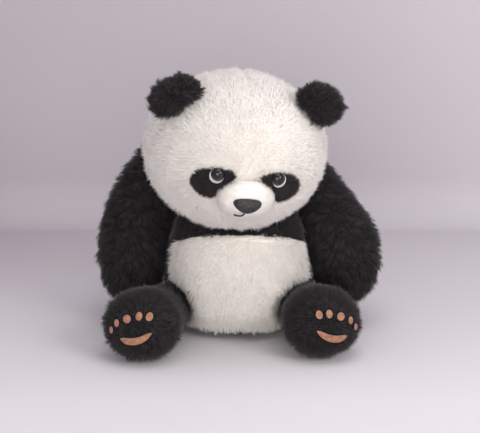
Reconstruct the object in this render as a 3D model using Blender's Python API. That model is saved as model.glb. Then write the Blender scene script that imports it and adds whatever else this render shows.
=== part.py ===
"""Sitting plush panda: sewn pile-fabric covers over stuffing, in metres, +Z up, facing -Y.

The head nods and turns on a stuffed neck plug, the ears flex, the arms swing forward from the
shoulders and the legs spread at the hips. "left" is the side at -X, seen from the front.
"""

import math

import bmesh
import bpy
from mathutils import Matrix, Vector

# Cloth and clearances
WALL = 0.003            # pile cloth with its backing and the root of its pile
GAP = 0.0003            # between pieces that are sewn or glued together
LOOSE = 0.0006          # between a cover and the stuffing inside it
HEAD_LOOSE = 0.0015     # the same in the head, whose facets are larger
BODY_LOOSE = 0.0026     # the same in the torso
LIMB_ROOM = 0.0016      # around a limb that moves
HEAD_ROOM = 0.005       # around the head, which rolls in its hollow
SIDES = 12              # facets around a limb
HEAD_SIDES = 20
HEAD_STEPS = 11

# Head: an ellipsoid, tilted forward and turned a little, rolling about its own centre
HEAD_CENTRE = Vector((-0.002, -0.045, 0.206))
HEAD_AXES = Vector((0.0905, 0.0815, 0.077))
HEAD_YAW = math.radians(10.0)
HEAD_ROLL = math.radians(4.5)
HEAD_PITCH = math.radians(13.0)
NECK_DOWN = Vector((0.0, 0.5, -0.8660254))
NECK_RADIUS = 0.031
NECK_LENGTH = 0.024
NECK_ROOM = 0.003
NECK_CLEARANCE = 0.0032  # between the plug's cupped end and the head

# Face, on the head's own front: across, up
FACE_SHIFT = {"left": (0.0012, 0.0020), "right": (-0.0025, 0.0)}    # each eye with its patch, as sewn
EYE_AT = (0.030, 0.007)
EYE_RADIUS = 0.0066
EYE_RIM_RADIUS = 0.0078
EYE_RIM_SHIFT = (0.0014, -0.0012)
SHANK_RADIUS = 0.0025
SHANK_HOLE = 0.0028
WASHER_RADIUS = 0.0072
PATCH_CENTRE = (0.036, -0.003)
PATCH_OUTLINE = ((0.014, 0.0085), (0.028, 0.011), (0.039, 0.0095), (0.0475, 0.0050), (0.053, -0.003),
                 (0.050, -0.0125), (0.041, -0.0170), (0.030, -0.0175), (0.022, -0.010), (0.016, 0.000))
MUZZLE_CENTRE = (0.0, -0.0162)
MUZZLE_HALF = (0.030, 0.0234)
MUZZLE_HEIGHT = 0.0165
NOSE_CENTRE = (-0.0015, -0.0125)
NOSE_HALF = (0.0176, 0.0076)
NOSE_HEIGHT = 0.0062
MOUTH = ((-0.0030, -0.0215), (-0.0042, -0.0245), (-0.0060, -0.0258), (-0.0088, -0.0260),
         (-0.0122, -0.0254))
THREAD_RADIUS = 0.0008

# Ears: where the seam is on the head's ellipsoid (unit direction), and how far the leaf stands out
EAR_HALF_WIDTH = 0.0235
EAR_LENGTH = 0.034
EAR_THICKNESS = 0.011
EAR_SEAM_GAP = 0.003
EAR_CORNERS = 0.80      # 1 is an ellipse; less has corners
EAR_SIZE = {"left_ear": 0.97, "right_ear": 0.92}
EAR_PLACES = {"left_ear": (-0.0590, -0.025, 0.0525), "right_ear": (0.0605, -0.024, 0.0515)}

# Torso: height, half width, front, back of each level, from the seat to the top of the back
TORSO_LEVELS = ((0.000, 0.048, -0.012, 0.080), (0.007, 0.064, -0.034, 0.099),
                (0.030, 0.0765, -0.050, 0.111), (0.060, 0.0790, -0.056, 0.113),
                (0.090, 0.0770, -0.056, 0.109), (0.115, 0.0720, -0.052, 0.103),
                (0.138, 0.061, -0.037, 0.096), (0.163, 0.047, -0.008, 0.087),
                (0.181, 0.028, 0.020, 0.075))
TORSO_ROUNDNESS = 2.4   # 2 is an ellipse; more is squarer
TORSO_TOP = (0.0025, 0.049, 0.189)
TORSO_SIDES = 24
PANEL_COLUMNS = 9
SEAT_LEVEL = 1
BELLY_LEVEL = 5
BELLY_ANGLE = math.radians(72.0)
BELLY_RISE = 0.20       # the belly seam is this share of a level above its level in the middle
BELLY_DROP = 0.85       # and drops this share of a level towards the sides
SEAM = 0.02             # share of a level that a seam takes
SEAM_ANGLE = math.radians(0.35)
TORSO_SHIFT = 0.0025    # the body sits a little to the right under the head
PELLET_HALF = (0.040, 0.044, 0.034)
PELLET_AT = (0.0, 0.034)
TAIL_HEIGHT = 0.040
TAIL_RADIUS = 0.017
TAIL_LENGTH = 0.017

# Limbs: centre, half width, half height at each station
ARMS = {
    "left_arm": (((-0.0765, 0.056, 0.165), 0.0330, 0.0330), ((-0.0925, 0.046, 0.141), 0.0355, 0.0350),
                 ((-0.1035, 0.034, 0.115), 0.0375, 0.0360), ((-0.1090, 0.025, 0.092), 0.0370, 0.0355),
                 ((-0.1115, 0.019, 0.073), 0.0345, 0.0325), ((-0.1110, 0.020, 0.058), 0.0315, 0.0295)),
    "right_arm": (((0.0680, 0.056, 0.150), 0.0330, 0.0330), ((0.0855, 0.046, 0.126), 0.0360, 0.0345),
                  ((0.1010, 0.034, 0.105), 0.0380, 0.0360), ((0.1125, 0.025, 0.088), 0.0380, 0.0355),
                  ((0.1155, 0.019, 0.072), 0.0355, 0.0330), ((0.1145, 0.020, 0.058), 0.0325, 0.0300)),
}
LEGS = {
    "left_leg": (((-0.070, -0.010, 0.032), 0.0225, 0.0225), ((-0.079, -0.040, 0.032), 0.0250, 0.0255),
                 ((-0.087, -0.062, 0.034), 0.0315, 0.0315), ((-0.0925, -0.078, 0.0355), 0.0385, 0.0350),
                 ((-0.0950, -0.088, 0.0365), 0.0395, 0.0350)),
    "right_leg": (((0.068, -0.006, 0.032), 0.0225, 0.0225), ((0.073, -0.032, 0.032), 0.0250, 0.0255),
                  ((0.078, -0.053, 0.034), 0.0315, 0.0315), ((0.083, -0.069, 0.0355), 0.0385, 0.0350),
                  ((0.0855, -0.079, 0.0365), 0.0395, 0.0350)),
}
LIMB_SAMPLES = 1        # rings from one station to the next
LIMB_OPENING = math.radians(50.0)
DOME_LIFTS = (math.radians(23.0), math.radians(46.0), math.radians(68.0))
SOLE_DEPTH = 0.86       # a foot's end is flatter than a half ball
ARM_SWING = math.radians(32.0)
LEG_SPREAD = math.radians(8.0)

# Pads on a sole: across (towards the outside), up, half width, half height
PAD_LIFT = 0.0004
PAD_THICKNESS = 0.0012
TOES = ((-0.0142, 0.0119, 0.0034, 0.0041), (-0.0045, 0.0124, 0.0034, 0.0041),
        (0.0072, 0.0094, 0.0042, 0.0040), (0.0180, 0.0045, 0.0026, 0.0039),
        (0.0243, -0.0030, 0.0020, 0.0036))
HEEL_HALF = 0.0155
HEEL_THICK = 0.0064
HEEL_BEND = (-0.0117, -0.0034, 0.0048)  # height at the middle, tilt towards the outside, curve
HEEL_SHIFT = -0.0016
PAD_SHIFT = {"left_foot": (-0.0022, 0.0028), "right_foot": (0.0022, 0.0020)}

COLOURS = {
    "white_pile": (0.87, 0.82, 0.76, 1.0),
    "black_pile": (0.022, 0.019, 0.022, 1.0),
    "short_pile": (0.92, 0.87, 0.81, 1.0),
    "suede": (0.45, 0.24, 0.13, 1.0),
    "nose_plastic": (0.030, 0.027, 0.027, 1.0),
    "eye_plastic": (0.035, 0.030, 0.028, 1.0),
    "eye_white": (0.75, 0.73, 0.74, 1.0),
    "washer_plastic": (0.80, 0.80, 0.78, 1.0),
    "stitching": (0.050, 0.042, 0.045, 1.0),
    "stuffing": (0.90, 0.90, 0.88, 1.0),
    "pellet_cloth": (0.70, 0.69, 0.66, 1.0),
}
ROUGHNESS = {"nose_plastic": 0.35, "eye_plastic": 0.08, "eye_white": 0.35, "washer_plastic": 0.40}


def material(slot):
    """Return the Principled material of a finish, made once."""
    found = bpy.data.materials.get(slot)
    if found:
        return found
    made = bpy.data.materials.new(slot)
    made.use_nodes = True
    shader = made.node_tree.nodes["Principled BSDF"]
    shader.inputs["Base Color"].default_value = COLOURS[slot]
    shader.inputs["Roughness"].default_value = ROUGHNESS.get(slot, 0.92)
    shader.inputs["Metallic"].default_value = 0.0
    return made


def link(name, mesh, slot):
    """Put a mesh in the scene as a smooth-shaded object with its finish."""
    mesh.materials.append(material(slot))
    mesh.shade_smooth()
    mesh.set_sharp_from_angle(angle=math.radians(40.0))
    piece = bpy.data.objects.new(name, mesh)
    bpy.context.scene.collection.objects.link(piece)
    return piece


def sew(name, rings, slot, loop=False):
    """Skin a list of rings into one closed body. A ring of one point is a pole."""
    shape = bmesh.new()
    rows = [[shape.verts.new(point) for point in ring] for ring in rings]
    pairs = list(zip(rows, rows[1:]))
    if loop:
        pairs.append((rows[-1], rows[0]))
    for lower, upper in pairs:
        count = max(len(lower), len(upper))
        for i in range(count):
            j = (i + 1) % count
            if len(lower) == 1:
                shape.faces.new((lower[0], upper[i], upper[j]))
            elif len(upper) == 1:
                shape.faces.new((upper[0], lower[i], lower[j]))
            elif (lower[i].co - upper[j].co).length <= (lower[j].co - upper[i].co).length:
                shape.faces.new((lower[i], lower[j], upper[j]))
                shape.faces.new((lower[i], upper[j], upper[i]))
            else:
                shape.faces.new((lower[i], lower[j], upper[i]))
                shape.faces.new((lower[j], upper[j], upper[i]))
    bmesh.ops.recalc_face_normals(shape, faces=shape.faces)
    mesh = bpy.data.meshes.new(name)
    shape.to_mesh(mesh)
    shape.free()
    return link(name, mesh, slot)


def panel(name, outer, inner, slot):
    """Close a four-sided cloth panel from its outer and inner grids of points."""
    shape = bmesh.new()
    skins = [[[shape.verts.new(p) for p in row] for row in grid] for grid in (outer, inner)]
    last_row = len(outer) - 1
    last_column = len(outer[0]) - 1
    for skin in skins:
        for r in range(last_row):
            for c in range(last_column):
                shape.faces.new((skin[r][c], skin[r][c + 1], skin[r + 1][c + 1], skin[r + 1][c]))
    rim = [(0, c) for c in range(last_column)] + [(r, last_column) for r in range(last_row)]
    rim += [(last_row, c) for c in range(last_column, 0, -1)] + [(r, 0) for r in range(last_row, 0, -1)]
    for here, there in zip(rim, rim[1:] + rim[:1]):
        shape.faces.new((skins[0][here[0]][here[1]], skins[0][there[0]][there[1]],
                         skins[1][there[0]][there[1]], skins[1][here[0]][here[1]]))
    bmesh.ops.triangulate(shape, faces=shape.faces)
    bmesh.ops.recalc_face_normals(shape, faces=shape.faces)
    mesh = bpy.data.meshes.new(name)
    shape.to_mesh(mesh)
    shape.free()
    return link(name, mesh, slot)


def cutter(name, rings, loop=False):
    """A guide shape that only cuts others."""
    guide = sew(name, rings, "stuffing", loop)
    guide.hide_render = True
    guide.display_type = "WIRE"
    return guide


def carve(piece, cutters):
    """Cut shapes out of a piece and keep its largest remaining body."""
    for tool in cutters:
        cut = piece.modifiers.new("cut", "BOOLEAN")
        cut.operation = "DIFFERENCE"
        cut.solver = "EXACT"
        cut.object = tool
    bpy.context.view_layer.update()
    graph = bpy.context.evaluated_depsgraph_get()
    mesh = bpy.data.meshes.new_from_object(piece.evaluated_get(graph))
    piece.modifiers.clear()
    shape = bmesh.new()
    shape.from_mesh(mesh)
    bmesh.ops.remove_doubles(shape, verts=shape.verts, dist=0.00002)
    bmesh.ops.dissolve_degenerate(shape, edges=shape.edges, dist=0.00002)
    unseen = set(shape.verts)
    bodies = []
    while unseen:
        body = {unseen.pop()}
        edge = list(body)
        while edge:
            near = {other for v in edge for e in v.link_edges for other in e.verts} - body
            body |= near
            edge = list(near)
        unseen -= body
        bodies.append(body)
    largest = max(bodies, key=len)
    bmesh.ops.delete(shape, geom=[v for v in shape.verts if v not in largest], context="VERTS")
    shape.to_mesh(mesh)
    shape.free()
    piece.data = mesh


def circle(count, start=0.0):
    """Angles evenly spaced around a ring."""
    return [start + 2.0 * math.pi * i / count for i in range(count)]


def smooth_stations(stations):
    """Catmull-Rom stations: centre, half width and half height along a limb."""
    rows = [list(centre) + [wide, high] for centre, wide, high in stations]
    rows = [rows[0]] + rows + [rows[-1]]
    out = []
    for a, b, c, d in zip(rows, rows[1:], rows[2:], rows[3:]):
        for k in range(LIMB_SAMPLES):
            t = k / LIMB_SAMPLES
            out.append([0.5 * (2 * q + (r - p) * t + (2 * p - 5 * q + 4 * r - s) * t * t
                               + (3 * q - p - 3 * r + s) * t ** 3) for p, q, r, s in zip(a, b, c, d)])
    out.append(rows[-1])
    return [(Vector(row[:3]), row[3], row[4]) for row in out]


def limb_ring(centre, ahead, size, shrink, shift):
    """One ring around a limb, `shift` along it, at a share of its half width and half height."""
    across = (Vector((1, 0, 0)) - ahead * ahead.x).normalized()
    over = ahead.cross(across)
    return [centre + ahead * shift + across * (size[0] * shrink * math.cos(a))
            + over * (size[1] * shrink * math.sin(a)) for a in circle(SIDES)]


def limb_rings(stations, grow=0.0, opening=None, end_depth=1.0):
    """Rings from the shoulder or hip pole to the far pole of a round-ended limb."""
    path = smooth_stations(stations)
    rings = []
    for k, (centre, wide, high) in enumerate(path):
        ahead = path[min(k + 1, len(path) - 1)][0] - path[max(k - 1, 0)][0]
        ahead.normalize()
        size = (wide + grow, high + grow)
        reach = sum(size) / 2
        if k == 0:
            if opening is None:
                rings.append([centre - ahead * reach])
            for lift in reversed(DOME_LIFTS):
                if opening is None or lift <= opening:
                    rings.append(limb_ring(centre, ahead, size, math.cos(lift), -reach * math.sin(lift)))
        rings.append(limb_ring(centre, ahead, size, 1.0, 0.0))
        if k == len(path) - 1:
            reach *= end_depth
            rings += [limb_ring(centre, ahead, size, math.cos(lift), reach * math.sin(lift))
                      for lift in DOME_LIFTS]
            rings.append([centre + ahead * reach])
    return rings


def make_limb(name, stations, end_depth=1.0):
    """A limb's open-ended cover and the stuffing in it."""
    outer = limb_rings(stations, 0.0, LIMB_OPENING, end_depth)
    inner = limb_rings(stations, -WALL, LIMB_OPENING, end_depth)
    sew(name + "_cover", outer[::-1] + inner, "black_pile")
    sew(name + "_stuffing", limb_rings(stations, -WALL - LOOSE, None, end_depth), "stuffing")


def limb_room(name, stations, axis, angles, end_depth=1.0):
    """A convex guide around all that a limb sweeps through as it moves."""
    pivot = Vector(stations[0][0])
    rings = limb_rings(stations, LIMB_ROOM, None, end_depth)
    shape = bmesh.new()
    for angle in angles:
        turn = Matrix.Rotation(angle, 3, axis)
        for ring in rings:
            for point in ring:
                shape.verts.new(pivot + turn @ (point - pivot))
    hull = bmesh.ops.convex_hull(shape, input=shape.verts)
    spare = set(hull["geom_interior"]) | set(hull["geom_unused"])
    bmesh.ops.delete(shape, geom=[v for v in spare if isinstance(v, bmesh.types.BMVert)], context="VERTS")
    bmesh.ops.dissolve_limit(shape, angle_limit=math.radians(4.0), verts=shape.verts, edges=shape.edges)
    bmesh.ops.triangulate(shape, faces=shape.faces)
    mesh = bpy.data.meshes.new(name + "_room")
    shape.to_mesh(mesh)
    shape.free()
    guide = link(name + "_room", mesh, "stuffing")
    guide.hide_render = True
    guide.display_type = "WIRE"
    return guide


# Head frame
HEAD_TURN = (Matrix.Rotation(HEAD_YAW, 3, "Z") @ Matrix.Rotation(HEAD_ROLL, 3, "Y")
             @ Matrix.Rotation(HEAD_PITCH, 3, "X"))
NECK_LOCAL = (HEAD_TURN.transposed() @ NECK_DOWN).normalized()


def head_point(local):
    """A point of the head's own frame, in the world."""
    return HEAD_CENTRE + HEAD_TURN @ Vector(local)


def head_ring(angle, grow):
    """A ring of the head around the neck's direction, `angle` away from it."""
    side = NECK_LOCAL.cross(Vector((1, 0, 0))).normalized()
    other = NECK_LOCAL.cross(side)
    ring = []
    for a in circle(HEAD_SIDES):
        unit = NECK_LOCAL * math.cos(angle) + (side * math.cos(a) + other * math.sin(a)) * math.sin(angle)
        ring.append(head_point([u * (h + grow) for u, h in zip(unit, HEAD_AXES)]))
    return ring


def head_rings(first, grow):
    """Rings from `first` to the crown pole; a first angle of zero is the neck pole."""
    angles = [first + (math.pi - first) * k / HEAD_STEPS for k in range(HEAD_STEPS)]
    rings = [head_ring(angle, grow) for angle in angles]
    if first == 0.0:
        rings[0] = [rings[0][0]]
    crown = head_ring(math.pi, grow)[0]
    return rings + [[crown]]


def on_head(across, up, lift):
    """A point over the front of the head, `lift` along the surface's normal."""
    depth = 1.0 - (across / HEAD_AXES.x) ** 2 - (up / HEAD_AXES.z) ** 2
    base = Vector((across, -HEAD_AXES.y * math.sqrt(depth), up))
    normal = Vector([b / (h * h) for b, h in zip(base, HEAD_AXES)]).normalized()
    return head_point(base + normal * lift)


def muzzle_height(share):
    """Height of the muzzle's dome at a share of its half size."""
    return MUZZLE_HEIGHT * max(0.0, 1.0 - share ** 2.4) ** 0.55


def on_muzzle_base(across, up, lift):
    """A point over the front of the head, `lift` straight forward."""
    depth = 1.0 - (across / HEAD_AXES.x) ** 2 - (up / HEAD_AXES.z) ** 2
    forward = Vector((0.0, -1.0, -0.08)).normalized()
    return head_point(Vector((across, -HEAD_AXES.y * math.sqrt(depth), up)) + forward * lift)


def on_muzzle(across, up, lift):
    """A point over the outside of the muzzle."""
    share = math.hypot((across - MUZZLE_CENTRE[0]) / MUZZLE_HALF[0], (up - MUZZLE_CENTRE[1]) / MUZZLE_HALF[1])
    return on_muzzle_base(across, up, GAP * 2 + muzzle_height(min(share, 1.0)) + lift)


def pillow(place, centre, outline, heights):
    """Rings over a surface: each is the outline at a share of its size, at a height."""
    rings = []
    for share, height in heights:
        if share == 0.0:
            rings.append([place(centre[0], centre[1], height)])
        else:
            rings.append([place(centre[0] + share * (u - centre[0]), centre[1] + share * (w - centre[1]),
                                height) for u, w in outline])
    return rings


def rounded(outline, passes=2):
    """Round an outline's corners by cutting them, as with scissors."""
    points = list(outline)
    for _ in range(passes):
        points = [tuple(p + (q - p) * share for p, q in zip(a, b))
                  for a, b in zip(points, points[1:] + points[:1]) for share in (0.25, 0.75)]
    return points


def turned(frame, profile, sides=12, shifts=None):
    """Rings of a profile of (radius, height) turned about a frame's own Z."""
    rings = []
    for k, (radius, height) in enumerate(profile):
        shift = shifts[k] if shifts else (0.0, 0.0)
        if radius == 0.0:
            rings.append([frame @ Vector((0, 0, height))])
        else:
            rings.append([frame @ Vector((shift[0] + radius * math.cos(a), shift[1] + radius * math.sin(a),
                                          height)) for a in circle(sides)])
    return rings


def surface_frame(place, across, up):
    """A frame on a surface: X across, Y up the surface, Z outwards."""
    origin = place(across, up, 0.0)
    out = (place(across, up, 0.001) - origin).normalized()
    right = (place(across + 0.001, up, 0.0) - place(across - 0.001, up, 0.0)).normalized()
    right = (right - out * right.dot(out)).normalized()
    above = out.cross(right)
    frame = Matrix.Identity(4)
    for column, axis in enumerate((right, above, out)):
        for row in range(3):
            frame[row][column] = axis[row]
    return Matrix.Translation(origin) @ frame


def make_head():
    """Head cover, stuffing, muzzle, nose, mouth, eye patches and eyes."""
    opening = math.atan2(NECK_RADIUS + 0.002, HEAD_AXES.z)
    outer = head_rings(opening, 0.0)
    inner = head_rings(opening, -WALL)
    shell = sew("head_cover", outer[::-1] + inner, "white_pile")
    stuffing = sew("head_stuffing", head_rings(0.0, -WALL - HEAD_LOOSE), "stuffing")
    shell_cuts = []
    stuffing_cuts = []
    muzzle_room = cutter("muzzle_room", pillow(on_muzzle_base, MUZZLE_CENTRE, muzzle_outline(1.015),
                                               ((0, -0.006), (1, -0.006), (1, 0.009), (0, 0.012))))
    for side, sign in (("left", -1), ("right", 1)):
        shift, lift = FACE_SHIFT[side]
        frame = surface_frame(on_head, sign * EYE_AT[0] + shift, EYE_AT[1] + lift)
        outline = [(sign * u + shift, w + lift) for u, w in rounded(PATCH_OUTLINE, 1)]
        patch = sew(side + "_eye_patch",
                    pillow(on_head, (sign * PATCH_CENTRE[0] + shift, PATCH_CENTRE[1] + lift), outline,
                           ((0, 0.0006), (0.5, 0.0006), (1, 0.0006), (1, 0.0026), (0.5, 0.0026),
                            (0, 0.0026))),
                    "black_pile")
        hole = cutter(side + "_eye_hole", turned(frame, ((0, -0.010), (SHANK_HOLE, -0.010),
                                                         (SHANK_HOLE, 0.006), (0, 0.006))))
        pocket = cutter(side + "_eye_pocket",
                        turned(frame, ((0, -0.0150), (SHANK_HOLE + 0.0004, -0.0150),
                                       (SHANK_HOLE + 0.0004, -0.0080), (WASHER_RADIUS + 0.0008, -0.0080),
                                       (WASHER_RADIUS + 0.0008, 0.002), (0, 0.002))))
        carve(patch, [hole, muzzle_room])
        shell_cuts.append(hole)
        stuffing_cuts.append(pocket)
        rim_shift = (sign * EYE_RIM_SHIFT[0], EYE_RIM_SHIFT[1])
        middle = (0.0, 0.0)
        sew(side + "_eye_rim",
            turned(frame, ((SHANK_HOLE, 0.0030), (EYE_RIM_RADIUS, 0.0030), (EYE_RIM_RADIUS, 0.0038),
                           (SHANK_HOLE, 0.0040)), shifts=(middle, rim_shift, rim_shift, middle)),
            "eye_white", loop=True)
        dome = [(EYE_RADIUS * math.cos(math.radians(t)), 0.0048 + 0.0044 * math.sin(math.radians(t)))
                for t in (0, 22, 44, 66)]
        sew(side + "_eye",
            turned(frame, [(0, -0.0140), (SHANK_RADIUS, -0.0140), (SHANK_RADIUS, 0.0043), (EYE_RADIUS, 0.0043)]
                   + dome + [(0, 0.0092)]),
            "eye_plastic")
        sew(side + "_eye_washer",
            turned(frame, ((SHANK_HOLE, -0.0072), (WASHER_RADIUS, -0.0072), (WASHER_RADIUS, -0.0058),
                           (SHANK_HOLE, -0.0058))), "washer_plastic", loop=True)
    carve(shell, shell_cuts)
    carve(stuffing, stuffing_cuts)
    make_muzzle()


def muzzle_outline(scale):
    """The muzzle's seam on the head."""
    return [(MUZZLE_CENTRE[0] + MUZZLE_HALF[0] * scale * math.cos(a),
             MUZZLE_CENTRE[1] + MUZZLE_HALF[1] * scale * math.sin(a)) for a in circle(18)]


def make_muzzle():
    """The short-pile muzzle with its stuffing, nose and mouth stitch."""
    centre = MUZZLE_CENTRE
    outline = muzzle_outline(1.0)
    shares = (0.0, 0.3, 0.55, 0.75, 0.9)
    lift = GAP * 2
    thin = 0.0022
    outside = [(s, lift + muzzle_height(s)) for s in shares] + [(1.0, lift)]
    inside = [(s * 0.92, lift + muzzle_height(s) - thin) for s in shares] + [(0.93, lift)]
    cover = sew("muzzle_cover", pillow(on_muzzle_base, centre, outline, outside + inside[::-1]), "short_pile")
    fill = [(0.0, lift), (0.45, lift), (0.88, lift)]
    fill += [(s * 0.89, lift + muzzle_height(s) - thin - LOOSE) for s in reversed(shares)]
    stuffing = sew("muzzle_stuffing", pillow(on_muzzle_base, centre, outline, fill), "stuffing")

    nose_outline = []
    for a in circle(16, math.radians(90.0)):
        width = NOSE_HALF[0] * math.cos(a) * (0.74 + 0.26 * math.sin(a))
        nose_outline.append((NOSE_CENTRE[0] + width, NOSE_CENTRE[1] + NOSE_HALF[1] * math.sin(a)))
    frame = surface_frame(on_muzzle, *NOSE_CENTRE)
    hole = cutter("nose_hole", turned(frame, ((0, -0.008), (SHANK_HOLE, -0.008),
                                              (SHANK_HOLE, 0.004), (0, 0.004))))
    pocket = cutter("nose_pocket",
                    turned(frame, ((0, -0.0128), (SHANK_HOLE + 0.0004, -0.0128),
                                   (SHANK_HOLE + 0.0004, -0.0062), (WASHER_RADIUS + 0.0008, -0.0062),
                                   (WASHER_RADIUS + 0.0008, 0.003), (0, 0.003))))
    carve(cover, [hole])
    carve(stuffing, [pocket])
    shank = turned(frame, ((0, -0.0120), (SHANK_RADIUS, -0.0120), (SHANK_RADIUS, 0.0006)), 16)
    shank = [shank[0]] + [ring[4:] + ring[:4] for ring in shank[1:]]
    body = pillow(on_muzzle, NOSE_CENTRE, nose_outline,
                  ((0.45, 0.0006), (1.0, 0.0006), (1.0, 0.0022), (0.94, 0.0040), (0.78, 0.0055),
                   (0.4, NOSE_HEIGHT), (0.0, NOSE_HEIGHT + 0.0002)))
    sew("nose", shank + body, "nose_plastic")
    sew("nose_washer",
        turned(frame, ((SHANK_HOLE, -0.0056), (WASHER_RADIUS, -0.0056), (WASHER_RADIUS, -0.0042),
                       (SHANK_HOLE, -0.0042))), "washer_plastic", loop=True)

    rings = []
    points = [on_muzzle(u, w, 0.0010) for u, w in MOUTH]
    for k, point in enumerate(points):
        ahead = (points[min(k + 1, len(points) - 1)] - points[max(k - 1, 0)]).normalized()
        up = (on_muzzle(*MOUTH[k], 0.002) - point).normalized()
        side = ahead.cross(up).normalized()
        rings.append([point + (side * math.cos(a) + up * math.sin(a)) * THREAD_RADIUS for a in circle(8)])
    sew("mouth_stitch", [[points[0]]] + rings + [[points[-1]]], "stitching")


def make_ears():
    """Each ear is two cloth leaves, back and front, sewn at the rim and to the head."""
    for name, place in EAR_PLACES.items():
        unit = Vector([p / h for p, h in zip(place, HEAD_AXES)]).normalized()
        base = Vector([u * h for u, h in zip(unit, HEAD_AXES)])
        out = Vector([b / (h * h) for b, h in zip(base, HEAD_AXES)]).normalized()
        sign = math.copysign(1.0, base.x)
        along = Vector((-sign * 0.80, -0.02, 0.60))
        along = (along - out * along.dot(out)).normalized()
        face = along.cross(out) * -sign
        if face.y > 0:
            face = -face

        def leaf(u, w, lift):
            return head_point(base + along * u + out * w + face * lift)

        reach = EAR_LENGTH * EAR_SIZE[name]
        middle = EAR_SEAM_GAP + reach * 0.48
        outline = []
        for a in circle(18):
            rise = math.copysign(abs(math.sin(a)) ** EAR_CORNERS, math.sin(a))
            spread = math.copysign(abs(math.cos(a)) ** EAR_CORNERS, math.cos(a))
            wide = EAR_HALF_WIDTH * EAR_SIZE[name] * (1.0 - 0.12 * rise)
            outline.append((wide * spread, max(middle + reach * 0.52 * rise, EAR_SEAM_GAP + 0.0015)))
        half = EAR_THICKNESS / 2
        bulge = ((1.0, 0.0012), (0.93, 0.0028), (0.7, half * 0.85), (0.35, half), (0.0, half))
        for part, way in (("back", -1.0), ("front", 1.0)):
            heights = [(0.0, way * GAP), (0.5, way * GAP), (1.0, way * GAP)]
            heights += [(share, way * (GAP + height)) for share, height in bulge]
            sew(f"{name}_{part}", pillow(leaf, (0.0, middle), outline, heights), "black_pile")


def torso_level(step):
    """Height, half width, front and back of the torso at a level, between levels too."""
    low = min(int(step), len(TORSO_LEVELS) - 2)
    share = step - low
    return [a + (b - a) * share for a, b in zip(TORSO_LEVELS[low], TORSO_LEVELS[low + 1])]


def torso_point(angle, step, grow=0.0):
    """A point of the torso; the angle runs from the front towards +X."""
    def surface(turn, level):
        height, wide, front, back = torso_level(level)
        power = 2.0 / TORSO_ROUNDNESS
        across = math.copysign(abs(math.sin(turn)) ** power, math.sin(turn))
        along = math.copysign(abs(math.cos(turn)) ** power, math.cos(turn))
        return Vector((TORSO_SHIFT + wide * across, (front + back) / 2 - (back - front) / 2 * along, height))

    point = surface(angle, step)
    if grow == 0.0:
        return point
    last = len(TORSO_LEVELS) - 1
    around = surface(angle + 0.01, step) - surface(angle - 0.01, step)
    upward = surface(angle, min(step + 0.5, last)) - surface(angle, max(step - 0.5, 0.0))
    return point + around.cross(upward).normalized() * grow


def belly_seam(angle):
    """Level of the seam between the belly and the yoke, lower towards the sides."""
    return BELLY_LEVEL + BELLY_RISE - BELLY_DROP * (angle / BELLY_ANGLE) ** 2


def torso_grid(angles, low, high, grow):
    """A grid of torso points; low and high give the first and last level at an angle."""
    shares = {0.0, 1.0}
    for turn in (BELLY_ANGLE, 0.0):
        first, reach = low(turn), high(turn) - low(turn)
        shares |= {round((level - first) / reach, 6) for level in range(len(TORSO_LEVELS))
                   if first + 0.05 < level < first + reach - 0.05}
    return [[torso_point(a, low(a) + (high(a) - low(a)) * share, grow) for a in angles]
            for share in sorted(shares)]


def neck_rings(radius, start, length):
    """A round plug along the neck, from `start` below the head's centre, `length` long."""
    side = NECK_DOWN.cross(Vector((1, 0, 0))).normalized()
    other = NECK_DOWN.cross(side)
    rings = [[HEAD_CENTRE + NECK_DOWN * start]]
    for share, depth in ((0.6, 0.0), (1.0, 0.0), (1.0, 1.0), (0.6, 1.0)):
        centre = HEAD_CENTRE + NECK_DOWN * (start + length * depth)
        rings.append([centre + (side * math.cos(a) + other * math.sin(a)) * radius * share for a in circle(24)])
    return rings + [[HEAD_CENTRE + NECK_DOWN * (start + length)]]


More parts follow.
